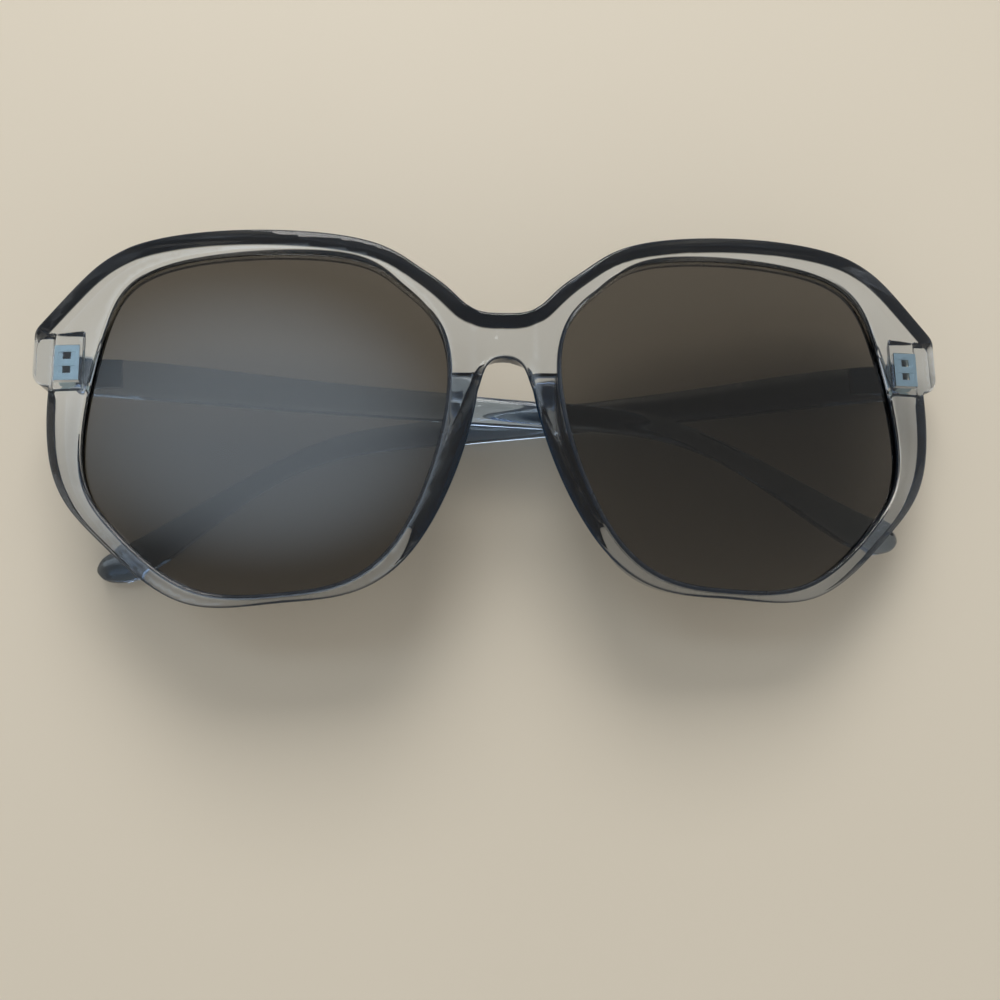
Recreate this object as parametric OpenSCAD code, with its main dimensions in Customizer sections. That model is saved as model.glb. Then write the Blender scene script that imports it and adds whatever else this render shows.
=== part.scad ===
// Oversized sunglasses in clear grey plastic, folded and lying on one temple.
// X runs across the front, Y points to the brow, Z points up out of the lenses.
// Left and right are the wearer's, so the right lens is on the -X side.

/* [Lenses] */
// Width of one lens opening
lens_w = 57; // [50:0.5:62]
// Height of one lens opening
lens_h = 54; // [44:0.5:58]
// Thickness of a lens
lens_t = 2; // [1.6:0.1:2.2]
// How far a lens edge reaches into its groove
groove_d = 0.7; // [0.6:0.1:1.4]

/* [Front] */
// Gap between the two lens openings
bridge_w = 17; // [14:0.5:22]
// Height of the bridge bar
bridge_h = 8.2; // [6:0.1:10]
// Thickness of the front
front_t = 4.6; // [4.2:0.1:5.4]
// Plastic in front of a lens
front_lip = 1.2; // [1:0.1:1.4]
// Usual width of the rim
rim_w = 4; // [3.4:0.1:4.6]
// Radius to which the front is bent round the face
front_r = 290; // [240:5:400]

/* [Nose pads] */
// Length of a moulded nose pad
pad_l = 25; // [22:0.5:30]
// How far a nose pad stands out behind the front
pad_d = 6; // [4:0.5:7]
// Angle at which the pads open towards the face
pad_splay = 20; // [12:1:26]

/* [End pieces] */
// Height of an end piece
end_h = 9.4; // [8.6:0.1:11]
// How far an end piece reaches past the rim
end_reach = 2.8; // [2.4:0.1:3.6]
// How far the hinge axis lies behind the front's outer end
end_d = 6; // [5.4:0.1:7]
// Radius of the lower outer corner
end_r = 2.6; // [1.5:0.1:3.2]

/* [Temples] */
// Length of a temple from hinge axis to tip, measured straight
temple_l = 135; // [124:0.5:138]
// Height of a temple at the hinge
temple_h = 6.1; // [5.9:0.1:7]
// Thickness of a temple
temple_t = 3.8; // [3.2:0.1:4.2]
// How far the ear end drops below the hinge
temple_drop = 29.5; // [24:0.5:32]

/* [Hinges] */
// Radius of a hinge barrel
barrel_r = 1.3; // [1.2:0.05:1.35]
// Height of one of the five barrels
barrel_h = 1.1; // [0.9:0.05:1.1]
// Radius of the screw
screw_r = 0.7; // [0.6:0.05:0.8]
// Length of the leaf let into the temple
leaf_l = 7.1; // [6:0.1:10]
// Thickness of that leaf
leaf_t = 1.1; // [0.8:0.1:1.4]
// Width of the hinge body let into the front
anchor_w = 4; // [3.4:0.1:4.4]
// Depth of that body
anchor_d = 2.4; // [1.6:0.1:2.6]

/* [Folded pose] */
// Angle between the front and the lower temple
front_tilt = 2.5; // [2.4:0.1:3.5]
// Angle by which the upper temple folds in past the front
upper_fold = 1.5; // [1.4:0.1:2]
// Angle that each temple leans at its hinge, the left one down and the right one up
lean = 0.6; // [0:0.1:0.8]

/* [Hidden] */

// Clearances and overruns
turn_gap = 0.05;   // a turning face from its bearing
seat_gap = 0.03;   // a fixed metal piece from its plastic pocket
lens_gap = 0.1;    // a lens edge from the bottom of its groove
butt_gap = 0.1;    // a temple end from the end piece when open
sweep_gap = 0.2;   // a turning piece from what it passes
over = 1;          // overrun of every cut
curve_steps = 6;   // points on each stretch of a smooth outline
round_fn = 64;
bend_fn = 360;

// Corner points that pull the lens outline, from the nose round by the cheek
lens_shares = [[-0.56, 0.24], [-0.37, -0.465], [-0.05, -0.495], [0.195, -0.51], [0.415, -0.285],
    [0.525, -0.13], [0.445, 0.325], [0.355, 0.505], [-0.27, 0.505], [-0.355, 0.4]];
// Rim width at each of those points, as shares of rim_w
rim_shares = [1.35, 0.78, 0.23, 0.7, 0.67, 1.2, 2.2, 1.22, 0.77, 0.94];
// Rim width beside the end piece, as a share of rim_w
side_share = 1.35;
// Right half of the bridge, in shares of bridge_w and bridge_h from its middle
bridge_shares = [[0, 0.51], [0.25, 0.51], [0.45, 0.84], [0.78, 1.3], [0.6, 0.2],
    [0.37, -0.9], [0.24, -1.12], [0.19, -0.46], [0, -0.33]];
// Places up the lens, in shares of lens_h from the lens middle
bridge_y_share = 0.232;
hinge_y_share = 0.205;
pad_y_share = -0.089;
// The shoulder where the end piece runs out into the brow line
shoulder_shares = [0.515, 0.445];
// End piece below the hinge, as a share of end_h
end_low_share = 0.46;
// Middle line of a temple: along, down and height, in shares of temple_l, temple_drop and temple_h
temple_shares = [[0, 0, 1], [0.07, 0.02, 1], [0.15, 0.06, 0.97], [0.26, 0.12, 0.85],
    [0.38, 0.175, 0.77], [0.51, 0.225, 0.72], [0.63, 0.275, 0.64], [0.71, 0.325, 0.6],
    [0.765, 0.43, 0.5], [0.81, 0.54, 0.54], [0.86, 0.69, 0.73], [0.91, 0.85, 0.98],
    [0.95, 0.965, 1.08], [0.98, 1, 0.88], [0.998, 1.012, 0.45]];
// Drop of the very tip, as a share of temple_drop
tip_share = 1.015;

// Where things lie across the front
lens_x = (bridge_w + lens_w) / 2;
end_x = lens_x + lens_w / 2 + rim_w * side_share + end_reach;
inner_gap = barrel_r + sweep_gap;               // hinge axis to the temple's inner face
hinge_x = end_x - temple_t - inner_gap;
end_in_x = hinge_x - anchor_w / 2 - seat_gap - rim_w / 8;
pad_foot_x = bridge_w / 6;

// Depths, from the front's foremost line down
function bend_drop(x) = front_r - sqrt(front_r * front_r - x * x);
hinge_z = -(bend_drop(end_x) + end_d);
block_z = hinge_z + inner_gap + turn_gap;       // the back of the end piece beside the hinge

// The hinge's stack of five barrels
stack_h = 5 * barrel_h + 4 * turn_gap;
bore_r = screw_r + turn_gap;
head_r = (barrel_r + bore_r) / 2;
head_h = barrel_h / 2;
slot_w = screw_r / 3;

// A closed smooth curve pulled by points p
function blend(a, b, c, d, t) = (pow(1 - t, 3) * a + (3 * pow(t, 3) - 6 * t * t + 4) * b
    + (3 * t * t - 3 * pow(t, 3) + 3 * t + 1) * c + pow(t, 3) * d) / 6;
function smooth_loop(p) = [for (i = [0 : len(p) - 1], k = [0 : curve_steps - 1])
    blend(p[(i + len(p) - 1) % len(p)], p[i], p[(i + 1) % len(p)], p[(i + 2) % len(p)],
        k / curve_steps)];
// An open one, from its first point to its last
function smooth_line(p) = [for (i = [-1 : len(p) - 1], k = [0 : curve_steps - 1])
    blend(pick(p, i - 1), pick(p, i), pick(p, i + 1), pick(p, i + 2), k / curve_steps)];
function pick(p, i) = p[max(0, min(len(p) - 1, i))];

// Points p moved outwards by widths w
function side_normal(a, b) = [b.y - a.y, a.x - b.x] / norm(b - a);
function miter(m, n) = (m + n) / (1 + m * n);
function grown(p, w) = [for (i = [0 : len(p) - 1])
    p[i] + w[i] * miter(side_normal(pick_round(p, i - 1), p[i]), side_normal(p[i], pick_round(p, i + 1)))];
function pick_round(p, i) = p[(i + len(p)) % len(p)];
function same(p, w) = [for (i = p) w];

// The outlines, with the lens middle at the origin
lens_points = [for (s = lens_shares) [s.x * lens_w, s.y * lens_h]];
rim_points = grown(lens_points, rim_shares * rim_w);
rim_curve = smooth_loop(rim_points);

// The front's own middle height is its reference
rim_top = max([for (q = rim_curve) q.y]);
rim_low = min([for (q = rim_curve) q.y]);
lens_y = -(rim_top + rim_low) / 2;
hinge_y = lens_y + hinge_y_share * lens_h;
bridge_y = lens_y + bridge_y_share * lens_h;
pad_y = lens_y + pad_y_share * lens_h;

// A corner at b between a and c, rounded to radius r
function rounded(a, b, c, r) = let (
    u = (a - b) / norm(a - b), v = (c - b) / norm(c - b), half = acos(u * v) / 2,
    m = b + (u + v) / norm(u + v) * r / sin(half), first = b + u * r / tan(half) - m,
    last = b + v * r / tan(half) - m, turn = acos(first * last / (r * r)),
    sense = sign(first.x * last.y - first.y * last.x))
    [for (k = [0 : curve_steps]) let (g = sense * turn * k / curve_steps)
        m + [first.x * cos(g) - first.y * sin(g), first.x * sin(g) + first.y * cos(g)]];

// The end piece seen from the front
end_low = hinge_y - end_low_share * end_h;
end_top = end_low + end_h;
shoulder = [lens_x + shoulder_shares.x * lens_w, lens_y + shoulder_shares.y * lens_h];
end_corner_low = [end_x, end_low];
end_corner_top = [end_x, end_top];
end_curve = concat([[end_in_x, end_low]],
    rounded([end_in_x, end_low], end_corner_low, end_corner_top, end_r),
    rounded(end_corner_low, end_corner_top, shoulder, end_r),
    [shoulder, [end_in_x - rim_w, hinge_y]]);

// The bridge seen from the front
bridge_right = [for (s = bridge_shares) [s.x * bridge_w, bridge_y + s.y * bridge_h]];
bridge_left = [for (i = [len(bridge_right) - 2 : -1 : 1]) [-bridge_right[i].x, bridge_right[i].y]];
bridge_curve = smooth_loop(concat(bridge_right, bridge_left));

// The temple seen from its inner side, with the hinge axis at the origin
temple_mid = [for (s = temple_shares) [-s[0] * temple_l, -s[1] * temple_drop, s[2] * temple_h / 2]];
temple_up = [for (m = temple_mid) [m[0], m[1] + m[2]]];
temple_down = [for (i = [len(temple_mid) - 1 : -1 : 0])
    [temple_mid[i][0], temple_mid[i][1] - temple_mid[i][2]]];
temple_tip = [-temple_l, -temple_drop * tip_share];
temple_curve = smooth_line(concat(temple_up, [temple_tip], temple_down));

// The front stands tilted on the lower temple, its box centred over the origin
front_x = -(hinge_z - bend_drop(end_x)) / 2 * sin(front_tilt);
front_z = inner_gap + temple_t + hinge_x * sin(front_tilt) - hinge_z * cos(front_tilt);
left_hinge = [hinge_x * cos(front_tilt) + hinge_z * sin(front_tilt) + front_x, hinge_y,
    inner_gap + temple_t];
right_hinge = [-hinge_x * cos(front_tilt) + hinge_z * sin(front_tilt) + front_x, hinge_y,
    inner_gap + temple_t + 2 * hinge_x * sin(front_tilt)];

module in_front() {
    translate([front_x, 0, front_z]) rotate([0, front_tilt, 0]) children();
}

// Children drawn for the +X side, on either side
module on_side(right) {
    if (right) mirror([1, 0, 0]) children();
    else children();
}

// The curved layer between depths a and b below the front face
module layer(a, b) {
    translate([0, 0, -front_r]) rotate([90, 0, 0]) difference() {
        cylinder(r = front_r - a, h = 3 * lens_h, center = true, $fn = bend_fn);
        cylinder(r = front_r - b, h = 4 * lens_h, center = true, $fn = bend_fn);
    }
}

// A column through the whole depth of the front
module column(curve, x, y) {
    translate([x, y, 2 * hinge_z]) linear_extrude(height = -3 * hinge_z) polygon(curve);
}

module lens_column(reach) {
    column(smooth_loop(grown(lens_points, same(lens_points, reach))), lens_x, lens_y);
}

// A box between two corners
module box(low, high) {
    translate(low) cube(high - low);
}

// The front as one plate, before the cuts
module front_plate() {
    intersection() {
        union() {
            for (right = [true, false]) on_side(right) {
                column(rim_curve, lens_x, lens_y);
                column(end_curve, 0, 0);
            }
            column(bridge_curve, 0, 0);
        }
        layer(0, front_t);
    }
}

// The end piece's block behind the plate, cut back beside the hinge
module end_block() {
    difference() {
        intersection() {
            column(end_curve, 0, 0);
            box([end_in_x, end_low - over, hinge_z], [end_x + over, end_top, 0]);
            layer(front_t / 2, 3 * front_t);
        }
        box([end_in_x - over, end_low - over, hinge_z - over],
            [hinge_x + barrel_r + sweep_gap, end_top + over, block_z]);
    }
}

// The pad is the part of the rim's nose side that a disc keeps, opened towards the face
module nose_pad() {
    pad_r = (pad_l * pad_l / 4 + pad_d * pad_d) / (2 * pad_d);
    pad_back = -(front_t + pad_d);
    difference() {
        intersection() {
            column(rim_curve, lens_x, lens_y);
            translate([0, pad_y, pad_back + pad_r]) rotate([0, 90, 0])
                cylinder(r = pad_r, h = lens_x / 2, $fn = round_fn * 2);
            box([0, pad_y - pad_l, pad_back], [lens_x / 2, pad_y + pad_l, -front_t / 2]);
        }
        translate([pad_foot_x, pad_y + pad_l / 2, -front_t])
            rotate([0, 0, pad_splay]) rotate([0, -pad_splay, 0])
            box([-lens_x, -2 * pad_l, -3 * pad_d], [0, pad_l, over]);
    }
}

module front_frame() color([0.66, 0.66, 0.65]) in_front() difference() {
    union() {
        front_plate();
        for (right = [true, false]) on_side(right) {
            end_block();
            nose_pad();
        }
    }
    for (right = [true, false]) on_side(right) {
        lens_column(0);
        intersection() {
            lens_column(groove_d);
            layer(front_lip, front_lip + lens_t + 2 * seat_gap);
        }
        box([hinge_x - anchor_w / 2 - seat_gap, hinge_y - stack_h / 2 - seat_gap, block_z - over],
            [hinge_x + anchor_w / 2 + seat_gap, hinge_y + stack_h / 2 + seat_gap,
                block_z + anchor_d + seat_gap]);
    }
}

module lens(right) color([0.27, 0.25, 0.23]) in_front() on_side(right) intersection() {
    lens_column(groove_d - lens_gap);
    layer(front_lip + seat_gap, front_lip + seat_gap + lens_t);
}

module lens_right() lens(true);
module lens_left() lens(false);

// Place of barrel i of the stack, counted from its lower end
function barrel_y(i) = -stack_h / 2 + i * (barrel_h + turn_gap);

// A round bar along Y from height y
module bar(r, y, h) {
    translate([0, y, 0]) rotate([-90, 0, 0]) cylinder(r = r, h = h, $fn = round_fn);
}

// Anchor, three barrels and their necks, with the axis at the origin
module front_hinge_shape() difference() {
    union() {
        box([-anchor_w / 2, -stack_h / 2, inner_gap + turn_gap],
            [anchor_w / 2, stack_h / 2, inner_gap + turn_gap + anchor_d]);
        for (i = [0, 2, 4]) {
            bar(barrel_r, barrel_y(i), barrel_h);
            box([-barrel_r, barrel_y(i), 0], [barrel_r, barrel_y(i) + barrel_h, inner_gap + turn_gap]);
        }
    }
    for (i = [1, 3])
        box([-barrel_r - turn_gap, barrel_y(i) - turn_gap, 0],
            [barrel_r + turn_gap, barrel_y(i) + barrel_h + turn_gap, inner_gap + anchor_d + over]);
    bar(bore_r, -stack_h, 2 * stack_h);
    bar(head_r + turn_gap, stack_h / 2 - head_h - turn_gap, stack_h);
}

// Leaf, two barrels and their necks, with the axis at the origin and the temple along -X
module temple_hinge_shape() difference() {
    union() {
        box([-leaf_l, -stack_h / 2 + barrel_h / 2, -inner_gap - leaf_t],
            [-butt_gap, stack_h / 2 - barrel_h / 2, -inner_gap]);
        for (i = [1, 3]) {
            bar(barrel_r, barrel_y(i), barrel_h);
            box([-barrel_r, barrel_y(i), -inner_gap - leaf_t / 2], [-butt_gap, barrel_y(i) + barrel_h, 0]);
        }
    }
    bar(bore_r, -stack_h, 2 * stack_h);
}

module screw_shape() difference() {
    union() {
        bar(screw_r, -stack_h / 2, stack_h - head_h);
        bar(head_r, stack_h / 2 - head_h, head_h - turn_gap);
    }
    box([-barrel_r, stack_h / 2 - head_h / 2, -slot_w / 2],
        [barrel_r, stack_h, slot_w / 2]);
}

// The temple with its leaf's pocket, with the axis at the origin
module temple_shape() difference() {
    intersection() {
        translate([0, 0, -inner_gap - temple_t]) linear_extrude(height = temple_t)
            polygon(temple_curve);
        box([-2 * temple_l, -2 * temple_l, -2 * temple_t - inner_gap], [-butt_gap, temple_l, 0]);
    }
    box([-leaf_l - seat_gap, -stack_h / 2 + barrel_h / 2 - seat_gap, -inner_gap - leaf_t - seat_gap],
        [over, stack_h / 2 - barrel_h / 2 + seat_gap, 0]);
}

module at_front_hinge(right) {
    in_front() on_side(right) translate([hinge_x, hinge_y, hinge_z]) children();
}

// The left temple lies flat, the right one slopes down over it
module at_temple(right) {
    if (right) translate(right_hinge) rotate([0, front_tilt - upper_fold, 0]) mirror([1, 0, 0])
        rotate([0, 0, -lean]) children();
    else translate(left_hinge) rotate([0, 0, lean]) children();
}

module temple_right() color([0.55, 0.57, 0.6]) at_temple(true) temple_shape();
module temple_left() color([0.55, 0.57, 0.6]) at_temple(false) temple_shape();
module front_hinge_right() color([0.7, 0.76, 0.8]) at_front_hinge(true) front_hinge_shape();
module front_hinge_left() color([0.7, 0.76, 0.8]) at_front_hinge(false) front_hinge_shape();
module temple_hinge_right() color([0.6, 0.66, 0.7]) at_temple(true) temple_hinge_shape();
module temple_hinge_left() color([0.6, 0.66, 0.7]) at_temple(false) temple_hinge_shape();
module hinge_screw_right() color([0.8, 0.82, 0.84]) at_front_hinge(true) screw_shape();
module hinge_screw_left() color([0.8, 0.82, 0.84]) at_front_hinge(false) screw_shape();

front_frame();
lens_right();
lens_left();
temple_right();
temple_left();
front_hinge_right();
front_hinge_left();
temple_hinge_right();
temple_hinge_left();
hinge_screw_right();
hinge_screw_left();
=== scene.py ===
import math

import bmesh
import bpy
import numpy as np
from mathutils import Matrix, Vector, geometry


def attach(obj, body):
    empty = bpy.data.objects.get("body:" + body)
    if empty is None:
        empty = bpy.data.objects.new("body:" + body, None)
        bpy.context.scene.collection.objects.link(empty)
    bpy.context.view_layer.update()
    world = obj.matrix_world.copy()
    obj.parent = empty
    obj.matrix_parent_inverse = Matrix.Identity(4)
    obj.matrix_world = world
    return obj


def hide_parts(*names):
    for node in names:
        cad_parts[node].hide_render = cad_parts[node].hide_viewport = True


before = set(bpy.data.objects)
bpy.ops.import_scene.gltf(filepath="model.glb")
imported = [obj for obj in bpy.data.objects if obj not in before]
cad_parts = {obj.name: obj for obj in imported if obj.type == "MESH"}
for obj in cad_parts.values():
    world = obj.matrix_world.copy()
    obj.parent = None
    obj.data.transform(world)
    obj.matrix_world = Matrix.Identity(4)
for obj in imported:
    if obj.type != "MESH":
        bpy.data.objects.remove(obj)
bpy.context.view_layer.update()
print("frame loaded")

# All sizes are in millimetres until a mesh is made
mm = 0.001

front = {
    "bendRadius": 290.0, "thickness": 4.6, "lensWidth": 57.0, "lensHeight": 54.0, "bridgeWidth": 17.0,
    "bridgeHeight": 8.2, "rimWidth": 4.0, "tilt": math.radians(2.5), "shiftX": 0.546171, "shiftZ": 23.7901,
    "lensX": 37.0, "lensY": -1.06147, "bridgeY": 11.4665, "endX": 73.7, "endLow": 5.6845, "endTop": 15.0845,
    "endInX": 65.87, "endRadius": 2.6, "shoulder": (66.355, 22.9685), "joinBlend": 0.5,
    "edgeRadius": 0.45, "lipRadius": 0.6, "browSlope": 1.45, "sideSlope": 1.15, "footSlope": 0.5,
    "noseSlope": 1.7, "noseSpread": 1.5, "archSlope": 0.35, "endSlope": 0.25, "bridgeSlope": 1.75,
    "mostSlope": 0.6, "padSlope": 0.22, "wallBlend": 0.12, "ridgeBlend": 0.6,
    "bridgeDip": 0.25, "dipStart": 4.3, "dipRun": 1.1,
    "grooveTop": 1.2, "grooveBottom": 3.26, "grooveDepth": 0.7, "grooveLip": 0.06, "grooveFillet": 0.1,
    "backLip": 0.35, "lipSlope": 0.35, "lipStart": 4.1,
}
hinge = {"x": 68.4, "y": 10.0085, "z": -15.5213, "blockZ": -13.9713, "stack": 5.7, "anchorWidth": 4.0,
         "anchorDepth": 2.4, "seat": 0.03, "recessX": 70.7, "wallRun": 0.5, "wallShare": 0.5,
         "edgeRun": 0.6, "edgeShare": 0.3}
pad = {"y": -5.86747, "length": 25.0, "depth": 6.0, "footX": 17.0 / 6, "splay": math.radians(20),
       "step": 0.35, "stepDepth": 0.8, "rest": 7.5, "restDepth": 5.2, "discLimit": 0.999,
       "edgeBlend": 1.2, "rootBlend": 0.8}
lens = {"reach": 0.6, "top": 1.23, "thickness": 2.0, "bevel": 0.15, "shadeInset": 0.01, "browLitInset": 0.4,
        "browStart": 9, "browRun": 8, "spacing": 1.2, "clear": 0.8}
temple = {"length": 135.0, "lean": math.radians(0.6), "tipShare": 1.015, "height": 6.1, "thickness": 3.8,
          "drop": 29.5, "gap": 1.5, "buttGap": 0.1, "left": (68.204, 10.0085, 5.3),
          "right": (-68.4658, 10.0085, 11.2671), "rightTurn": math.radians(1.0), "leafLength": 7.1,
          "leafThickness": 1.1, "leafHeight": 4.6, "leafSeat": 0.03, "leafOverrun": 1, "firstStation": 0.3,
          "butt": [(0, 0.0), (0, 0.93), (0.08, 0.98), (0.25, 1.0)], "tipRound": 1.6, "corner": 0.5,
          "sides": 48, "tipShade": 0.2, "tipReach": 14.0, "weld": 1e-7, "sharp": math.radians(38)}

lensShares = [(-0.56, 0.24), (-0.37, -0.465), (-0.05, -0.495), (0.195, -0.51), (0.415, -0.285),
              (0.525, -0.13), (0.445, 0.325), (0.355, 0.505), (-0.27, 0.505), (-0.355, 0.4)]
rimShares = [1.35, 0.78, 0.23, 0.7, 0.67, 1.2, 2.2, 1.22, 0.77, 0.94]
bridgeShares = [(0, 0.51), (0.25, 0.51), (0.45, 0.84), (0.78, 1.3), (0.6, 0.2), (0.37, -0.9),
                (0.24, -1.12), (0.19, -0.46), (0, -0.33)]
templeShares = [(0, 0, 1), (0.07, 0.02, 1), (0.15, 0.06, 0.97), (0.26, 0.12, 0.85), (0.38, 0.175, 0.77),
                (0.51, 0.225, 0.72), (0.63, 0.275, 0.64), (0.71, 0.325, 0.6), (0.765, 0.43, 0.5),
                (0.81, 0.54, 0.54), (0.86, 0.69, 0.73), (0.91, 0.85, 0.98), (0.95, 0.965, 1.08),
                (0.98, 1, 0.88), (0.998, 1.012, 0.45)]


# Outlines

def splineRows(rows, steps):
    t = np.arange(steps) / steps
    basis = np.stack([(1 - t) ** 3, 3 * t**3 - 6 * t**2 + 4, -3 * t**3 + 3 * t**2 + 3 * t + 1, t**3], 1) / 6
    return np.concatenate([basis @ row for row in rows])


def smoothLoop(points, steps):
    p = np.array(points, float)
    n = len(p)
    return splineRows([p[[(i - 1) % n, i, (i + 1) % n, (i + 2) % n]] for i in range(n)], steps)


def smoothLine(points, steps):
    p = np.array(points, float)
    n = len(p)
    return splineRows([p[np.clip([i - 1, i, i + 1, i + 2], 0, n - 1)] for i in range(-1, n)], steps)


def loopNormals(loop):
    along = np.roll(loop, -1, 0) - np.roll(loop, 1, 0)
    along /= np.linalg.norm(along, axis=1)[:, None]
    return np.stack([along[:, 1], -along[:, 0]], 1)


def grown(points, widths):
    p = np.array(points, float)
    side = np.roll(p, -1, 0) - p
    side /= np.linalg.norm(side, axis=1)[:, None]
    out = np.stack([side[:, 1], -side[:, 0]], 1)
    before = np.roll(out, 1, 0)
    miter = (before + out) / (1 + (before * out).sum(1))[:, None]
    return p + np.array(widths, float)[:, None] * miter


def roundedCorner(a, b, c, radius, steps):
    a, b, c = (np.array(v, float) for v in (a, b, c))
    u, v = (a - b) / np.linalg.norm(a - b), (c - b) / np.linalg.norm(c - b)
    half = math.acos(float(u @ v)) / 2
    middle = b + (u + v) / np.linalg.norm(u + v) * radius / math.sin(half)
    first, last = b + u * radius / math.tan(half) - middle, b + v * radius / math.tan(half) - middle
    spread = math.acos(np.clip(first @ last / radius**2, -1, 1))
    sense = np.sign(first[0] * last[1] - first[1] * last[0])
    arc = []
    for angle in np.linspace(0, 1, steps + 1) * spread * sense:
        cos, sin = math.cos(angle), math.sin(angle)
        arc.append(middle + (first[0] * cos - first[1] * sin, first[0] * sin + first[1] * cos))
    return arc


# Distances are worked out for this many points at a time
batch = 4000


def signedDistance(points, loop):
    ahead = np.roll(loop, -1, 0)
    side = ahead - loop
    reach = (side**2).sum(1)
    found = np.empty(len(points))
    for start in range(0, len(points), batch):
        part = points[start:start + batch]
        gap = part[:, None] - loop[None]
        t = np.clip((gap * side).sum(2) / reach, 0, 1)
        near = np.sqrt(((gap - t[..., None] * side) ** 2).sum(2).min(1))
        y = part[:, 1][:, None]
        over = (loop[:, 1] > y) != (ahead[:, 1] > y)
        with np.errstate(divide="ignore", invalid="ignore"):
            cross = loop[:, 0] + (y - loop[:, 1]) * side[:, 0] / side[:, 1]
        inside = ((part[:, 0][:, None] < cross) & over).sum(1) % 2 == 1
        found[start:start + batch] = np.where(inside, near, -near)
    return found


# How far each point is from a loop, and where round the loop its nearest place lies
def nearestOn(points, loop):
    side = np.roll(loop, -1, 0) - loop
    reach = (side**2).sum(1)
    gaps, places = np.empty(len(points)), np.empty(len(points))
    for start in range(0, len(points), batch):
        part = points[start:start + batch]
        gap = part[:, None] - loop[None]
        t = np.clip((gap * side).sum(2) / reach, 0, 1)
        far = ((gap - t[..., None] * side) ** 2).sum(2)
        which, rows = far.argmin(1), np.arange(len(part))
        gaps[start:start + batch] = np.sqrt(far[rows, which])
        places[start:start + batch] = which + t[rows, which]
    return gaps, places


def alongLoop(values, places):
    first = np.floor(places).astype(int)
    share = places - first
    share = share if values.ndim == 1 else share[:, None]
    return values[first % len(values)] * (1 - share) + values[(first + 1) % len(values)] * share


def evened(values, reach):
    steps = np.arange(-3 * reach, 3 * reach + 1)
    weights = np.exp(-0.5 * (steps / reach) ** 2)
    return sum(w * np.roll(values, k, 0) for k, w in zip(steps, weights)) / weights.sum()


def softMax(a, b, blend):
    h = np.clip(0.5 + 0.5 * (a - b) / blend, 0, 1)
    return a * h + b * (1 - h) + blend * h * (1 - h)


def softMin(a, b, blend):
    return -softMax(-a, -b, blend)


def ease(x):
    t = np.clip(x, 0, 1)
    return t * t * (3 - 2 * t)


# Soft masks: the first two are full a run past the value where they begin
def rising(values, start, run):
    return ease((values - start) / run)


def falling(values, start, run):
    return ease((start - values) / run)


def stepped(gap, run, share):
    return ease(gap / run + share)


lensControl = [(x * front["lensWidth"], y * front["lensHeight"]) for x, y in lensShares]
lensMiddle = np.array([front["lensX"], front["lensY"]])
openingLoop = smoothLoop(lensControl, 16) + lensMiddle
rimLoop = smoothLoop(grown(lensControl, np.array(rimShares) * front["rimWidth"]), 16) + lensMiddle
bridgeRight = [(x * front["bridgeWidth"], front["bridgeY"] + y * front["bridgeHeight"])
               for x, y in bridgeShares]
bridgeLoop = smoothLoop(bridgeRight + [(-x, y) for x, y in bridgeRight[-2:0:-1]], 10)
lowCorner, topCorner = (front["endX"], front["endLow"]), (front["endX"], front["endTop"])
endStart = (front["endInX"], front["endLow"])
endLoop = np.array([endStart] + roundedCorner(endStart, lowCorner, topCorner, front["endRadius"], 12)
                   + roundedCorner(lowCorner, topCorner, front["shoulder"], front["endRadius"], 12)
                   + [front["shoulder"], (front["endInX"] - front["rimWidth"], hinge["y"])])


# The two sides mirror each other
def folded(points):
    return np.stack([np.abs(points[:, 0]), points[:, 1]], 1)


def fromEdge(points):
    rim, end, bridge = (signedDistance(folded(points), loop) for loop in (rimLoop, endLoop, bridgeLoop))
    return softMax(softMax(rim, end, front["joinBlend"]), bridge, front["joinBlend"])


def fromOpening(points):
    return -signedDistance(folded(points), openingLoop)


def gradient(field, points, step=0.02):
    dx, dy = np.array([step, 0]), np.array([0, step])
    g = np.stack([field(points + dx) - field(points - dx), field(points + dy) - field(points - dy)], 1)
    return g / np.maximum(np.linalg.norm(g, axis=1), 1e-9)[:, None]


def traceZero(field, xs, ys):
    grid = np.array(np.meshgrid(xs, ys, indexing="ij")).reshape(2, -1).T
    values = field(grid).reshape(len(xs), len(ys))
    links, places = {}, {}

    def crossing(i, j, k, m):
        a, b = values[i, j], values[k, m]
        if (a > 0) == (b > 0):
            return None
        key = (i, j, k, m)
        t = a / (a - b)
        places[key] = (xs[i] + t * (xs[k] - xs[i]), ys[j] + t * (ys[m] - ys[j]))
        return key

    signs = values > 0
    first = signs[:-1, :-1]
    mixed = (first != signs[1:, :-1]) | (first != signs[:-1, 1:]) | (first != signs[1:, 1:])
    for i, j in np.argwhere(mixed):
        sides = [crossing(i, j, i + 1, j), crossing(i + 1, j, i + 1, j + 1),
                 crossing(i, j + 1, i + 1, j + 1), crossing(i, j, i, j + 1)]
        ends = [side for side in sides if side]
        links.setdefault(ends[0], []).append(ends[1])
        links.setdefault(ends[1], []).append(ends[0])
    start = next(iter(links))
    chain, before = [start], None
    while True:
        onward = [e for e in links[chain[-1]] if e != before]
        before = chain[-1]
        if onward[0] == start:
            break
        chain.append(onward[0])
    return np.array([places[key] for key in chain])


def evenly(loop, spacing):
    closed = np.vstack([loop, loop[:1]])
    lengths = np.r_[0, np.cumsum(np.linalg.norm(np.diff(closed, axis=0), axis=1))]
    places = np.linspace(0, lengths[-1], round(lengths[-1] / spacing) + 1)[:-1]
    return np.stack([np.interp(places, lengths, closed[:, k]) for k in (0, 1)], 1)


def settle(points, field):
    for _ in range(3):
        points = points - gradient(field, points) * field(points)[:, None]
    return points


# The triangulation works in single precision, so loops are rounded to it first
def single(loop):
    return loop.astype(np.float32).astype(float)


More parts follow.
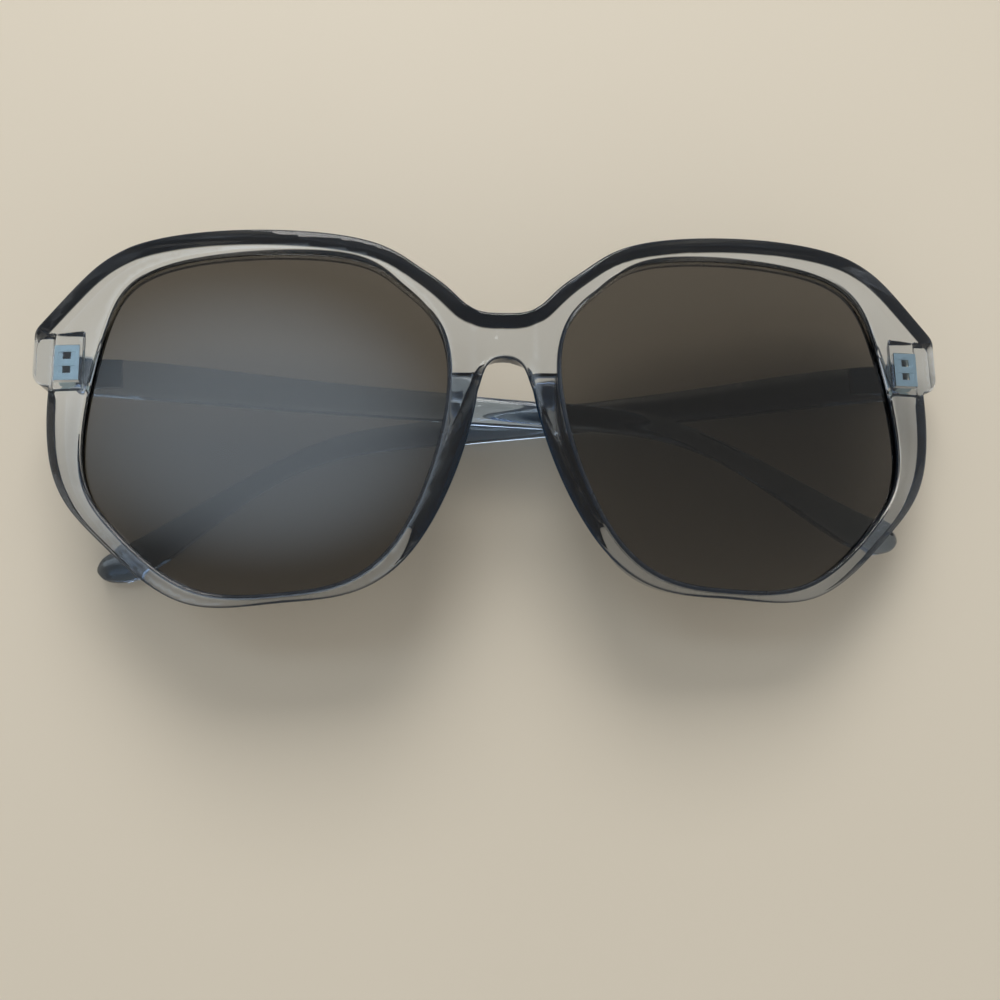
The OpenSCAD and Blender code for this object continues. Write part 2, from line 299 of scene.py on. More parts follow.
def counterClockwise(loop):
    ahead = np.roll(loop, -1, 0)
    area = (loop[:, 0] * ahead[:, 1] - ahead[:, 0] * loop[:, 1]).sum()
    return loop if area > 0 else loop[::-1]


# The grid that finds the outline lies a little off the even numbers, so that no place is on it exactly
search = {"x": (-75, 75.1), "y": (-31, 31.6), "step": 0.5, "offX": 0.013, "offY": 0.007,
          "spacing": 0.4, "openingSpacing": 0.45, "openingSteps": 40}
shoulder = {"x": (58, 3), "above": (2, 2), "turns": 60, "share": 0.25}

outerLoop = counterClockwise(traceZero(fromEdge, np.arange(*search["x"], search["step"]) + search["offX"],
                                       np.arange(*search["y"], search["step"]) + search["offY"]))
outerLoop = single(settle(evenly(settle(outerLoop, fromEdge), search["spacing"]), fromEdge))
corner = (rising(np.abs(outerLoop[:, 0]), *shoulder["x"])
          * rising(outerLoop[:, 1] - front["endTop"], *shoulder["above"]))
for _ in range(shoulder["turns"]):
    pull = np.roll(outerLoop, 1, 0) + np.roll(outerLoop, -1, 0) - 2 * outerLoop
    outerLoop += (corner * shoulder["share"])[:, None] * pull
outerLoop = single(outerLoop)
openingFine = smoothLoop(lensControl, search["openingSteps"]) + lensMiddle
openingFine = single(counterClockwise(evenly(openingFine, search["openingSpacing"])))
openingMirror = counterClockwise(openingFine * [-1, 1])
openings = [openingFine, openingMirror]
print("outlines drawn:", len(outerLoop), "points round the front")


# From the front's own depths to places in the row frame

def depthToZ(x, depth):
    return -front["bendRadius"] + np.sqrt((front["bendRadius"] - depth) ** 2 - x**2)


def zToDepth(x, z):
    return front["bendRadius"] - np.sqrt((z + front["bendRadius"]) ** 2 + x**2)


def placeFront(points):
    p = np.asarray(points, float)
    c, s = math.cos(front["tilt"]), math.sin(front["tilt"])
    return np.stack([p[:, 0] * c + p[:, 2] * s + front["shiftX"], p[:, 1],
                     p[:, 2] * c - p[:, 0] * s + front["shiftZ"]], 1) * mm


def bent(flat, depth):
    return np.stack([flat[:, 0], flat[:, 1], depthToZ(flat[:, 0], depth)], 1)


# The pad's back edge: a small step, a ramp, then the rim of a disc
def padDisc(y):
    radius = (pad["length"] ** 2 / 4 + pad["depth"] ** 2) / (2 * pad["depth"])
    away = np.clip(np.abs(y - pad["y"]) / radius, 0, pad["discLimit"])
    disc = -(front["thickness"] + pad["depth"]) + radius * (1 - np.sqrt(1 - away**2))
    down = pad["y"] + pad["length"] / 2 - y
    rampDepth = pad["restDepth"] - pad["stepDepth"]
    ramp = pad["stepDepth"] * ease(down / pad["step"]) + rampDepth * np.clip(down / pad["rest"], 0, 1)
    return np.where(down < pad["rest"], -front["thickness"] - ramp, disc)


# The pad's splayed side, away from the nose
def padPlane(x, y):
    cos, sin = math.cos(pad["splay"]), math.sin(pad["splay"])
    across, along = x - pad["footX"], y - pad["y"] - pad["length"] / 2
    return -front["thickness"] - (cos * cos * across + cos * sin * along) / sin


def backThickness(points):
    x, y = folded(points).T
    wall = stepped(x - hinge["recessX"], hinge["wallRun"], hinge["wallShare"])
    behind = zToDepth(x, hinge["blockZ"]) * (1 - wall) + zToDepth(x, hinge["z"]) * wall
    block = (stepped(x - front["endInX"], hinge["wallRun"], hinge["wallShare"])
             * stepped(front["endTop"] - y, hinge["edgeRun"], hinge["edgeShare"])
             * stepped(y - front["endLow"], hinge["edgeRun"], hinge["edgeShare"]))
    thick = front["thickness"] + block * (behind - front["thickness"])
    padDepth = zToDepth(x, softMax(padDisc(y), padPlane(x, y), pad["edgeBlend"]))
    return np.where(x < front["lensX"] / 2, softMax(thick, padDepth, pad["rootBlend"]), thick)


def bridgeDip(points):
    return front["bridgeDip"] * (1 - rising(np.abs(points[:, 0]), front["dipStart"], front["dipRun"]))


# How deep a rounded edge lies at a distance from it
def rounding(gap, radius):
    near = np.clip(gap, 0, radius)
    return radius - np.sqrt(np.maximum(radius**2 - (radius - near) ** 2, 0))


def frontDepth(points):
    outer = rounding(nearestOn(points, outerLoop)[0], front["edgeRadius"])
    inner = rounding(fromOpening(points), front["lipRadius"])
    return np.maximum(outer, inner) + bridgeDip(points)


# Where the outer wall slants how much: by the way the outline faces and by its place
zones = {"facesUp": (0.15, 0.4), "facesDown": (0.45, 0.45), "facesNose": (0.2, 0.4),
         "facesArch": (0.5, 0.35), "facesSide": (0.55, 0.2), "noseX": (22, 4), "noseTop": (9, 3),
         "noseFoot": (-24, 10), "noseSpread": (5, 12), "archX": (5.5, 1.5), "middleX": (13, 5),
         "endX": (66.2, 1.0), "pastEndLow": (-0.8, 0.8), "underEndTop": (-1, 1.5), "padX": (20, 4),
         "padTop": (5, 3)}
outerNormals = loopNormals(outerLoop)


def wallSlopes():
    x, y = np.abs(outerLoop[:, 0]), outerLoop[:, 1]
    out, rise = outerNormals[:, 0] * np.sign(outerLoop[:, 0]), outerNormals[:, 1]
    up = rising(rise, *zones["facesUp"])
    down = rising(-rise, *zones["facesDown"])
    nose = (rising(-out, *zones["facesNose"]) * falling(x, *zones["noseX"])
            * falling(y, *zones["noseTop"]) * rising(y, *zones["noseFoot"]))
    arch = rising(-rise, *zones["facesArch"]) * falling(x, *zones["archX"])
    end = (rising(x, *zones["endX"]) * rising(y - front["endLow"], *zones["pastEndLow"])
           * rising(front["endTop"] - y, *zones["underEndTop"]) * falling(rise, *zones["facesSide"]))
    middle = up * falling(x, *zones["middleX"])
    noseWidth = front["noseSlope"] + front["noseSpread"] * falling(y, *zones["noseSpread"])
    slope = np.full(len(x), front["sideSlope"])
    for part, width in ((up, front["browSlope"]), (middle, front["bridgeSlope"]),
                        (down, front["footSlope"]), (nose, noseWidth), (arch, front["archSlope"]),
                        (end, front["endSlope"])):
        slope = slope + part * (width - slope)
    return evened(slope, 2)


outerSlopes = wallSlopes()


def lipWidth(points):
    return front["backLip"] + front["lipSlope"] * np.maximum(backThickness(points) - front["thickness"], 0)


# The outer wall, the wall round the lens and how far a point is up each of them
def backWalls(points):
    thick = backThickness(points)
    start = front["edgeRadius"] + bridgeDip(points)
    edge, places = nearestOn(points, outerLoop)
    opening = np.maximum(fromOpening(points), 0)
    x, y = folded(points).T
    byPad = front["padSlope"] * falling(x, *zones["padX"]) * falling(y, *zones["padTop"])
    most = front["mostSlope"] + byPad
    slope = np.minimum(alongLoop(outerSlopes, places), most * (edge + opening))
    outerShare, lipShare = edge / np.maximum(slope, 1e-6), opening / lipWidth(points)
    climb = softMin(outerShare, np.ones(len(edge)), front["wallBlend"])
    outer = start + (thick - start) * np.clip(climb, 0, 1)
    base = front["lipStart"]
    inner = base + (thick - base) * np.sqrt(1 - (1 - np.clip(lipShare, 0, 1)) ** 2)
    return outer, inner, outerShare, lipShare, places


def backDepth(points):
    outer, inner, _, _, _ = backWalls(points)
    return softMin(outer, inner, front["ridgeBlend"])


# Painted shade: how much dark blue is painted on each wall in place of the darkness of light trapped in the
# plastic, and where it fades
shading = {"brow": 0.85, "browY": (13, 4), "foot": 0.6, "footFacing": (0.7, 0.25), "footY": (-8, 8),
           "endX": (69.6, 0.6), "endMargin": 0.6, "endTopRun": 0.3, "endLowRun": 0.6,
           "wallTop": (0.94, 0.12), "lipTop": (0.7, 0.4), "lipFade": 0.75, "lipReach": (0.6, 0.6),
           "probe": 0.05, "steep": (0.9, 0.9), "blockDepth": (7.5, 0.8), "blockX": 60, "blockFade": 0.6,
           "rounding": (0.12, 0.25)}


# Painted light: the walls at the top of the openings stay clear of the painted shade, where light from above
# reaches them
def belowBrow(y):
    return 1 - shading["brow"] * rising(y, *shading["browY"])


# The foot of the rims keeps less painted shade too, in part
def footFade(facing, y):
    return shading["foot"] * rising(-facing[:, 1], *shading["footFacing"]) * falling(y, *shading["footY"])


# And so do the outer sides of the end pieces
def endFade(x, y):
    return (rising(x, *shading["endX"])
            * falling(y, front["endTop"] - shading["endMargin"], shading["endTopRun"])
            * rising(y, front["endLow"], shading["endLowRun"]))


# The painted shade of the back: all of it on steep walls
def wallShade(points):
    _, _, outerShare, lipShare, places = backWalls(points)
    facing = alongLoop(outerNormals, places)
    x, y = folded(points).T
    edgeWall = (1 - rising(outerShare, *shading["wallTop"])) * (1 - footFade(facing, y))
    lipReach = 1 - shading["lipFade"] * rising(fromOpening(points), *shading["lipReach"])
    lipWall = (1 - rising(lipShare, *shading["lipTop"])) * lipReach * belowBrow(y)
    step, thick = shading["probe"], backThickness(points)
    rise = [(backThickness(points + way) - backThickness(points - way)) / (2 * step)
            for way in ([step, 0], [0, step])]
    blockWall = (rising(np.hypot(*rise), *shading["steep"]) * (1 - rising(thick, *shading["blockDepth"]))
                 * (x > shading["blockX"]))
    blockWall *= 1 - shading["blockFade"] * rising(np.abs(rise[0]), *shading["steep"])
    return np.maximum(np.maximum(edgeWall * (1 - endFade(x, y)), lipWall), blockWall)


# Painted shade on the face side too: only on the rounding next to a painted dark wall
def edgeShade(points):
    edge, places = nearestOn(points, outerLoop)
    facing = alongLoop(outerNormals, places)
    x, y = folded(points).T
    return (1 - rising(edge, *shading["rounding"])) * (1 - footFade(facing, y)) * (1 - endFade(x, y))


def triangulate(loops, loose):
    loopPoints = np.concatenate(loops)
    edges, start = [], 0
    for loop in loops:
        n = len(loop)
        edges += [(start + i, start + (i + 1) % n) for i in range(n)]
        start += n
    every = [Vector(p) for p in np.concatenate([loopPoints, loose])]
    verts, _, faces, origins, _, _ = geometry.delaunay_2d_cdt(every, edges, [], 0, 1e-7)
    return np.array([tuple(v) for v in verts]), np.array(faces), origins, len(loopPoints)


# How finely the front's two sides are sampled
net = {
    "x": 74, "y": 31, "rowShare": 0.866, "clear": 0.12, "faceAngles": [14, 24, 35, 47, 60, 74, 90],
    "lipAngles": [12, 25, 38, 50, 62, 76, 90],
    "narrowRings": [0.1, 0.3, 0.5, 0.7, 0.84, 0.93, 1.0, 1.07, 1.16],
    "wideRings": [0.06, 0.14, 0.22, 0.3, 0.38, 0.46, 0.54, 0.62, 0.7, 0.78, 0.86, 0.93, 1.0, 1.07, 1.16],
    "wideSlope": 1.2, "lipProbe": 1.2, "overlap": 0.5, "padX": 20, "padTop": 9, "padCell": 0.1,
    "face": 0.9, "faceEdge": 1.1, "faceLip": 1.0, "fine": 0.25, "fineX": 20, "fineTop": 8,
    "coarseX": 19, "coarseTop": 7.5, "rowSteps": [-0.45, -0.3, -0.2, -0.1, 0, 0.1, 0.2, 0.3],
    "blockX": (65.0, 74), "blockMargin": 0.5, "blockStep": 0.3, "backEdge": 0.1, "backLip": 0.15,
    "pastWall": 1.2, "pastLip": 1.08, "pocket": 0.15,
}


def scattered(spacing):
    ys = np.arange(-net["y"], net["y"], spacing * net["rowShare"])
    gx, gy = np.meshgrid(np.arange(-net["x"], net["x"], spacing), ys, indexing="ij")
    gx = gx + (np.arange(len(ys)) % 2) * spacing / 2
    return np.stack([gx.ravel(), gy.ravel()], 1)


def ringPoints(offsets, loop, widths, other):
    normals = loopNormals(loop)
    rows = []
    for share in offsets:
        row = loop - normals * (widths * share)[:, None]
        rows.append(row[other(row) > net["clear"]])
    return np.concatenate(rows)


pocketHalf = np.array([hinge["anchorWidth"] / 2 + hinge["seat"], hinge["stack"] / 2 + hinge["seat"]])
pocketShares = [(-1, -1), (-0.33, -1), (0.33, -1), (1, -1), (1, -0.5), (1, 0), (1, 0.5), (1, 1),
                (0.33, 1), (-0.33, 1), (-1, 1), (-1, 0.5), (-1, 0), (-1, -0.5)]
pocketLoop = single(np.array([hinge["x"], hinge["y"]]) + pocketHalf * np.array(pocketShares))
pocketMirror = counterClockwise(pocketLoop * [-1, 1])
pockets = [pocketLoop, pocketMirror]


def surfaceFaces(loops, rims, loose, depthOf):
    verts, faces, origins, count = triangulate(loops, loose)
    depths, given = depthOf(verts), np.concatenate(rims)
    for i, sources in enumerate(origins):
        if sources and sources[0] < count:
            depths[i] = given[sources[0]]
    middles = verts[faces].mean(1)
    keep = signedDistance(middles, loops[0]) > 0
    for hole in loops[1:]:
        keep &= signedDistance(middles, hole) < 0
    faces = faces[keep]
    cross = np.cross(verts[faces[:, 1]] - verts[faces[:, 0]], verts[faces[:, 2]] - verts[faces[:, 0]])
    faces[cross < 0] = faces[cross < 0][:, ::-1]
    return bent(verts, depths), faces, verts


def loftFaces(rows):
    n = len(rows[0])
    verts = np.concatenate(rows)
    quads = [(r * n + i, r * n + (i + 1) % n, (r + 1) * n + (i + 1) % n, (r + 1) * n + i)
             for r in range(len(rows) - 1) for i in range(n)]
    return verts, quads


weldGap = 2e-7
sharpAngle = math.radians(40)


def addObject(name, data):
    made = bpy.data.objects.new(name, data)
    bpy.context.scene.collection.objects.link(made)
    return made


def meshFrom(name, build):
    mesh = bpy.data.meshes.new(name)
    build.to_mesh(mesh)
    build.free()
    return mesh


def smoothTo(mesh, angle):
    mesh.shade_smooth()
    mesh.set_sharp_from_angle(angle=angle)


def faceOutwards(build):
    bmesh.ops.recalc_face_normals(build, faces=build.faces)
    if build.calc_volume(signed=True) < 0:
        bmesh.ops.reverse_faces(build, faces=build.faces)


def report(name, build):
    openEdges = sum(1 for e in build.edges if len(e.link_faces) != 2)
    print(name, len(build.faces), "faces,", openEdges, "open edges")


def moveTo(verts, places):
    for vert, place in zip(verts, places):
        vert.co = place


# Each part is places and faces, then a material's number and the places' painted shade where it has them
def makeMesh(name, parts):
    build = bmesh.new()
    shade = build.verts.layers.float.new("shade")
    for verts, faces, *more in parts:
        made = [build.verts.new(v) for v in placeFront(verts)]
        if len(more) == 2:
            for vert, value in zip(made, more[1]):
                vert[shade] = value
        for face in faces:
            try:
                build.faces.new([made[i] for i in face]).material_index = more[0] if more else 0
            except ValueError:
                pass
    bmesh.ops.remove_doubles(build, verts=build.verts, dist=weldGap)
    loose = [v for v in build.verts if not v.link_faces]
    bmesh.ops.delete(build, geom=loose, context="VERTS")
    faceOutwards(build)
    report(name, build)
    mesh = meshFrom(name, build)
    smoothTo(mesh, sharpAngle)
    return addObject(name, mesh)


def faceLoose(grid):
    shares = 1 - np.cos(np.radians(net["faceAngles"]))
    found = [ringPoints(shares, outerLoop, np.full(len(outerLoop), front["edgeRadius"]), fromOpening)]
    for loop in openings:
        found.append(ringPoints(shares, loop, np.full(len(loop), -front["lipRadius"]), fromEdge))
    found.append(grid[(fromEdge(grid) > net["faceEdge"]) & (fromOpening(grid) > net["faceLip"])])
    return np.concatenate(found)


# Rings up the walls, thinned where they crowd in the pads
def wallLoose():
    found = []
    wide = outerSlopes > net["wideSlope"]
    for shares, chosen in ((net["narrowRings"], ~wide), (net["wideRings"], wide)):
        for share in shares:
            row = (outerLoop - outerNormals * (outerSlopes * share)[:, None])[chosen]
            outer, inner, _, _, _ = backWalls(row)
            found.append(row[(fromOpening(row) > net["clear"]) & (outer < inner + net["overlap"])])
    shares = 1 - np.cos(np.radians(net["lipAngles"]))
    for loop in openings:
        widths = lipWidth(loop + loopNormals(loop) * net["lipProbe"])
        rings = ringPoints(shares, loop, -widths, fromEdge)
        outer, inner, _, _, _ = backWalls(rings)
        found.append(rings[inner < outer + net["overlap"]])
    walls = np.concatenate(found)
    crowded = (np.abs(walls[:, 0]) < net["padX"]) & (walls[:, 1] < net["padTop"])
    cells = np.round(walls[crowded] / net["padCell"])
    thinned = walls[crowded][np.sort(np.unique(cells, axis=0, return_index=True)[1])]
    return np.concatenate([walls[~crowded], thinned])


# Rows along the blocks' edges, a fine grid round the pads and a coarse one elsewhere
def levelLoose(grid):
    steps = np.array(net["rowSteps"])
    low, top = front["endLow"] - net["blockMargin"], front["endTop"] + net["blockMargin"]
    xs, ys = np.arange(*net["blockX"], net["blockStep"]), np.arange(low, top, net["blockStep"])
    rows = [np.meshgrid(xs, front["endTop"] + steps), np.meshgrid(xs, front["endLow"] - steps),
            np.meshgrid(front["endInX"] + steps, ys), np.meshgrid(hinge["recessX"] + steps, ys)]
    rows = np.concatenate([np.stack(row, -1).reshape(-1, 2) for row in rows])
    fine = scattered(net["fine"])
    fine = fine[(np.abs(fine[:, 0]) < net["fineX"]) & (fine[:, 1] < net["fineTop"])]
    coarse = grid[(np.abs(grid[:, 0]) > net["coarseX"]) | (grid[:, 1] > net["coarseTop"])]
    level = np.concatenate([rows, rows * [-1, 1], fine, coarse])
    level = level[(fromEdge(level) > net["backEdge"]) & (fromOpening(level) > net["backLip"])]
    _, _, outerShare, lipShare, _ = backWalls(level)
    return level[(outerShare > net["pastWall"]) & (lipShare > net["pastLip"])]


def grooveWall(loop):
    top, bottom, deep = front["grooveTop"], front["grooveBottom"], front["grooveDepth"]
    lip, fillet = front["grooveLip"], front["grooveFillet"]
    section = [(0, front["lipRadius"]), (0, top - lip), (lip, top), (deep - fillet, top),
               (deep, top + fillet), (deep, bottom - fillet), (deep - fillet, bottom), (lip, bottom),
               (0, bottom + lip), (0, front["lipStart"])]
    normals = loopNormals(loop)
    verts, quads = loftFaces([bent(loop + normals * out, depth) for out, depth in section])
    # Painted shade on the groove's walls, with less of it under the brow where light from above reaches
    shade = [loop[:, 1] * 0] + [belowBrow(loop[:, 1])] * (len(section) - 1)
    return verts, quads, 0, np.concatenate(shade)


def pocketWall(pocket, depth):
    mouth = bent(pocket, depth)
    floor = mouth.copy()
    floor[:, 2] = hinge["blockZ"] + hinge["anchorDepth"] + hinge["seat"]
    verts, quads = loftFaces([mouth, floor])
    return verts, quads + [tuple(range(len(pocket), 2 * len(pocket)))]


def buildFront():
    grid = scattered(net["face"])
    outerRim = front["edgeRadius"] + bridgeDip(outerLoop)
    rims = [outerRim] + [np.full(len(loop), front["lipRadius"]) for loop in openings]
    verts, tris, flat = surfaceFaces([outerLoop] + openings, rims, faceLoose(grid), frontDepth)
    parts = [(verts, tris, 0, edgeShade(flat))]
    print("face side triangulated")

    loose = np.concatenate([wallLoose(), levelLoose(grid)])
    for pocket in pockets:
        loose = loose[signedDistance(loose, pocket) < -net["pocket"]]
    mouths = [backDepth(pocket) for pocket in pockets]
    rims = [outerRim] + [np.full(len(loop), front["lipStart"]) for loop in openings] + mouths
    verts, tris, flat = surfaceFaces([outerLoop] + openings + pockets, rims, loose, backDepth)
    parts.append((verts, tris[:, ::-1], 0, wallShade(flat)))
    print("back side triangulated")

    parts += [grooveWall(loop) for loop in openings]
    parts += [pocketWall(pocket, depth) for pocket, depth in zip(pockets, mouths)]
    return makeMesh("front_clear", parts)


# A lens is clear inside and painted dark round its edge as painted shade; the dark band starts further out
# under the brow, as painted light where more light reaches
def buildLens(name, side):
    opening = counterClockwise(openingFine * [side, 1])
    normals = loopNormals(opening)
    loop, inner = opening + normals * lens["reach"], opening + normals * (lens["reach"] - lens["bevel"])
    grid = scattered(lens["spacing"])
    verts, faces, _, _ = triangulate([opening], grid[signedDistance(grid, opening) > lens["clear"]])
    faces = faces[signedDistance(verts[faces].mean(1), opening) > 0]
    top, bottom, bevel = lens["top"], lens["top"] + lens["thickness"], lens["bevel"]
    brow = rising(opening[:, 1], lens["browStart"], lens["browRun"])
    start = opening + normals * (lens["shadeInset"] + lens["browLitInset"] * brow)[:, None]
    rows = [bent(opening, top), bent(start, top), bent(inner, top), bent(loop, top + bevel),
            bent(loop, bottom - bevel), bent(inner, bottom), bent(start, bottom), bent(opening, bottom)]
    parts = [(bent(verts, top), faces), (bent(verts, bottom), faces[:, ::-1]), (*loftFaces(rows[:2]), 0),
             (*loftFaces(rows[1:7]), 1), (*loftFaces(rows[6:]), 0)]
    return makeMesh(name, parts)


frontClear = buildFront()
lensRight = buildLens("lens_right_tinted", -1)
lensLeft = buildLens("lens_left_tinted", 1)


# Materials

class Wire:
    def __init__(self, tree, socket):
        self.tree, self.socket = tree, socket

    def math(self, operation, other=0.0):
        return addNode(self.tree, "ShaderNodeMath", {"operation": operation}, {0: self, 1: other})

    def __add__(self, other):
        return self.math("ADD", other)

    __radd__ = __add__

    def __mul__(self, other):
        return self.math("MULTIPLY", other)

    __rmul__ = __mul__

    def __sub__(self, other):
        return self.math("SUBTRACT", other)

    def __rsub__(self, other):
        return addNode(self.tree, "ShaderNodeMath", {"operation": "SUBTRACT"}, {0: other, 1: self})

    def __truediv__(self, other):
        return self.math("DIVIDE", other)


def addNode(tree, kind, settings=None, inputs=None, output=0):
    made = tree.nodes.new(kind)
    for name, value in (settings or {}).items():
        setattr(made, name, value)
    for key, value in (inputs or {}).items():
        if isinstance(value, Wire):
            tree.links.new(value.socket, made.inputs[key])
        else:
            made.inputs[key].default_value = value
    return Wire(tree, made.outputs[output]) if len(made.outputs) else None


def principled(tree, inputs):
    return addNode(tree, "ShaderNodeBsdfPrincipled", {}, inputs)


def newMaterial(name):
    made = bpy.data.materials.new(name)
    made.use_nodes = True
    made.node_tree.nodes.clear()
    return made, made.node_tree


def noise(tree, scale, detail):
    place = addNode(tree, "ShaderNodeTexCoord", output="Object")
    return addNode(tree, "ShaderNodeTexNoise", {}, {"Vector": place, "Scale": scale, "Detail": detail})


def twoTone(tree, factor, one, other):
    return addNode(tree, "ShaderNodeMix", {"data_type": "RGBA"}, {0: factor, 6: one, 7: other}, 2)


# Each noise is a scale and a detail, each swing what the noise is multiplied by and what is added
plastic = {"smudge": (140.0, 3.0), "flow": (45.0, 1.0), "bump": 0.0002, "bend": 1.5,
           "wallRough": (0.1, 0.05), "wallShine": 0.15, "wallSwing": (0.3, 0.8)}
# In these looks, walls are the dark tones of painted shade: on the front's walls for light trapped in the
# plastic, on the temples towards their tips
frameLook = {"tones": ((0.98, 0.98, 0.98, 1), (0.95, 0.96, 0.97, 1)), "absorb": (0.1, 0.28, 0.5, 1),
             "density": 50.0, "wave": 0.05, "rough": 0.02,
             "walls": ((0.006, 0.016, 0.032, 1), (0.011, 0.027, 0.054, 1))}
# The temples are the frame's plastic with a denser absorption, as painted shade for where the lens shades
# them
shadedTempleLook = {"tones": ((0.97, 0.98, 0.99, 1), (0.93, 0.95, 0.97, 1)), "absorb": (0.05, 0.27, 0.5, 1),
              "density": 220.0, "wave": 0.05, "rough": 0.02,
              "walls": ((0.03, 0.032, 0.036, 1), (0.045, 0.048, 0.052, 1))}
lensLook = {"tones": ((0.98, 0.98, 0.98, 1), (0.96, 0.96, 0.96, 1)), "absorb": (0.206, 0.169, 0.1125, 1),
            "density": 1150.0, "wave": 0.0, "rough": 0.004}


def clearPlastic(name, look):
    made, tree = newMaterial(name)
    smudge = noise(tree, *plastic["smudge"])
    flow = noise(tree, *plastic["flow"])
    normal = addNode(tree, "ShaderNodeBump", {}, {
        "Strength": look["wave"], "Distance": plastic["bump"], "Height": flow})
    shader = principled(tree, {
        "Base Color": twoTone(tree, smudge, *look["tones"]), "Roughness": smudge * look["rough"],
        "Normal": normal, "Transmission Weight": 1.0, "IOR": plastic["bend"]})
    # Painted shade: where the shade attribute is set, a dark surface is mixed over the clear plastic
    if "walls" in look:
        rough, least = plastic["wallRough"]
        deep = principled(tree, {
            "Base Color": twoTone(tree, flow, *look["walls"]), "Roughness": smudge * rough + least,
            "Normal": normal, "Specular IOR Level": plastic["wallShine"]})
        shade = addNode(tree, "ShaderNodeAttribute", {"attribute_name": "shade"}, output=2)
        swing, least = plastic["wallSwing"]
        share = (shade * (flow * swing + least)).math("MINIMUM", 1.0)
        shader = addNode(tree, "ShaderNodeMixShader", {}, {0: share, 1: shader, 2: deep})
    inside = addNode(tree, "ShaderNodeVolumeAbsorption", {}, {
        "Color": look["absorb"], "Density": look["density"]})
    addNode(tree, "ShaderNodeOutputMaterial", {}, {"Surface": shader, "Volume": inside})
    return made


hingeLook = {"tones": ((0.52, 0.7, 0.78, 1), (0.36, 0.52, 0.6, 1)), "grain": (900.0, 4.0),
             "rough": (0.2, 0.22), "bump": (0.25, 0.00002)}
# The leaves' metal is painted nearly black: a painted reflection of the dark underside of the front above
# them
shadedLeafLook = {"tones": ((0.015, 0.045, 0.075, 1), (0.01, 0.03, 0.055, 1)), "grain": (900.0, 4.0),
            "rough": (0.2, 0.3), "bump": (0.25, 0.00002)}
# The lens edge's near-black tones are painted shade
edgeShadeLook = {"tones": ((0.012, 0.012, 0.014, 1), (0.03, 0.03, 0.034, 1)), "grain": (700.0, 3.0),
              "rough": (0.2, 0.45)}


# Only metal has a bump: the painted dark edge of a lens is plain
def grained(name, look):
    made, tree = newMaterial(name)
    grain = noise(tree, *look["grain"])
    inputs = {}
    if "bump" in look:
        strength, depth = look["bump"]
        inputs["Metallic"] = 1.0
        inputs["Normal"] = addNode(tree, "ShaderNodeBump", {}, {
            "Strength": strength, "Distance": depth, "Height": grain})
    swing, least = look["rough"]
    inputs["Base Color"] = twoTone(tree, grain, *look["tones"])
    inputs["Roughness"] = grain * swing + least
    addNode(tree, "ShaderNodeOutputMaterial", {}, {"Surface": principled(tree, inputs)})
    return made


frameGrey = clearPlastic("frame_grey", frameLook)
templeGrey = clearPlastic("temple_grey", shadedTempleLook)
lensGrey = clearPlastic("lens_grey", lensLook)
hingeMetal = grained("hinge_metal", hingeLook)
leafMetal = grained("leaf_metal", shadedLeafLook)
lensEdge = grained("lens_edge", edgeShadeLook)


# Temples: one rule turns a row of stations into a rounded bar

def templeStations():
    length, drop = temple["length"], temple["drop"]
    middle = [(-a * length, -d * drop, h * temple["height"] / 2) for a, d, h in templeShares]
    tip = (-length, -drop * temple["tipShare"])
    upper = [(x, y + h) for x, y, h in middle]
    lower = [(x, y - h) for x, y, h in middle]
    topLine = smoothLine(upper + [tip] + lower[::-1], 12)
    half = len(topLine) // 2
    above, below = topLine[:half + 1], topLine[::-1][:half + 1]
    rows = [(u[0], (u[1] + v[1]) / 2, (u[1] - v[1]) / 2) for u, v in zip(above, below)]
    rows = [r for r in rows if r[0] < -temple["buttGap"] - temple["firstStation"]]
    start = [(-temple["buttGap"] - back, *rows[0][1:], share) for back, share in temple["butt"]]
    end = rows[-1][0]
    thin = [math.sqrt(1 - (1 - min((r[0] - end) / temple["tipRound"], 1)) ** 2) for r in rows]
    return start + [(*r, t) for r, t in zip(rows, thin)]


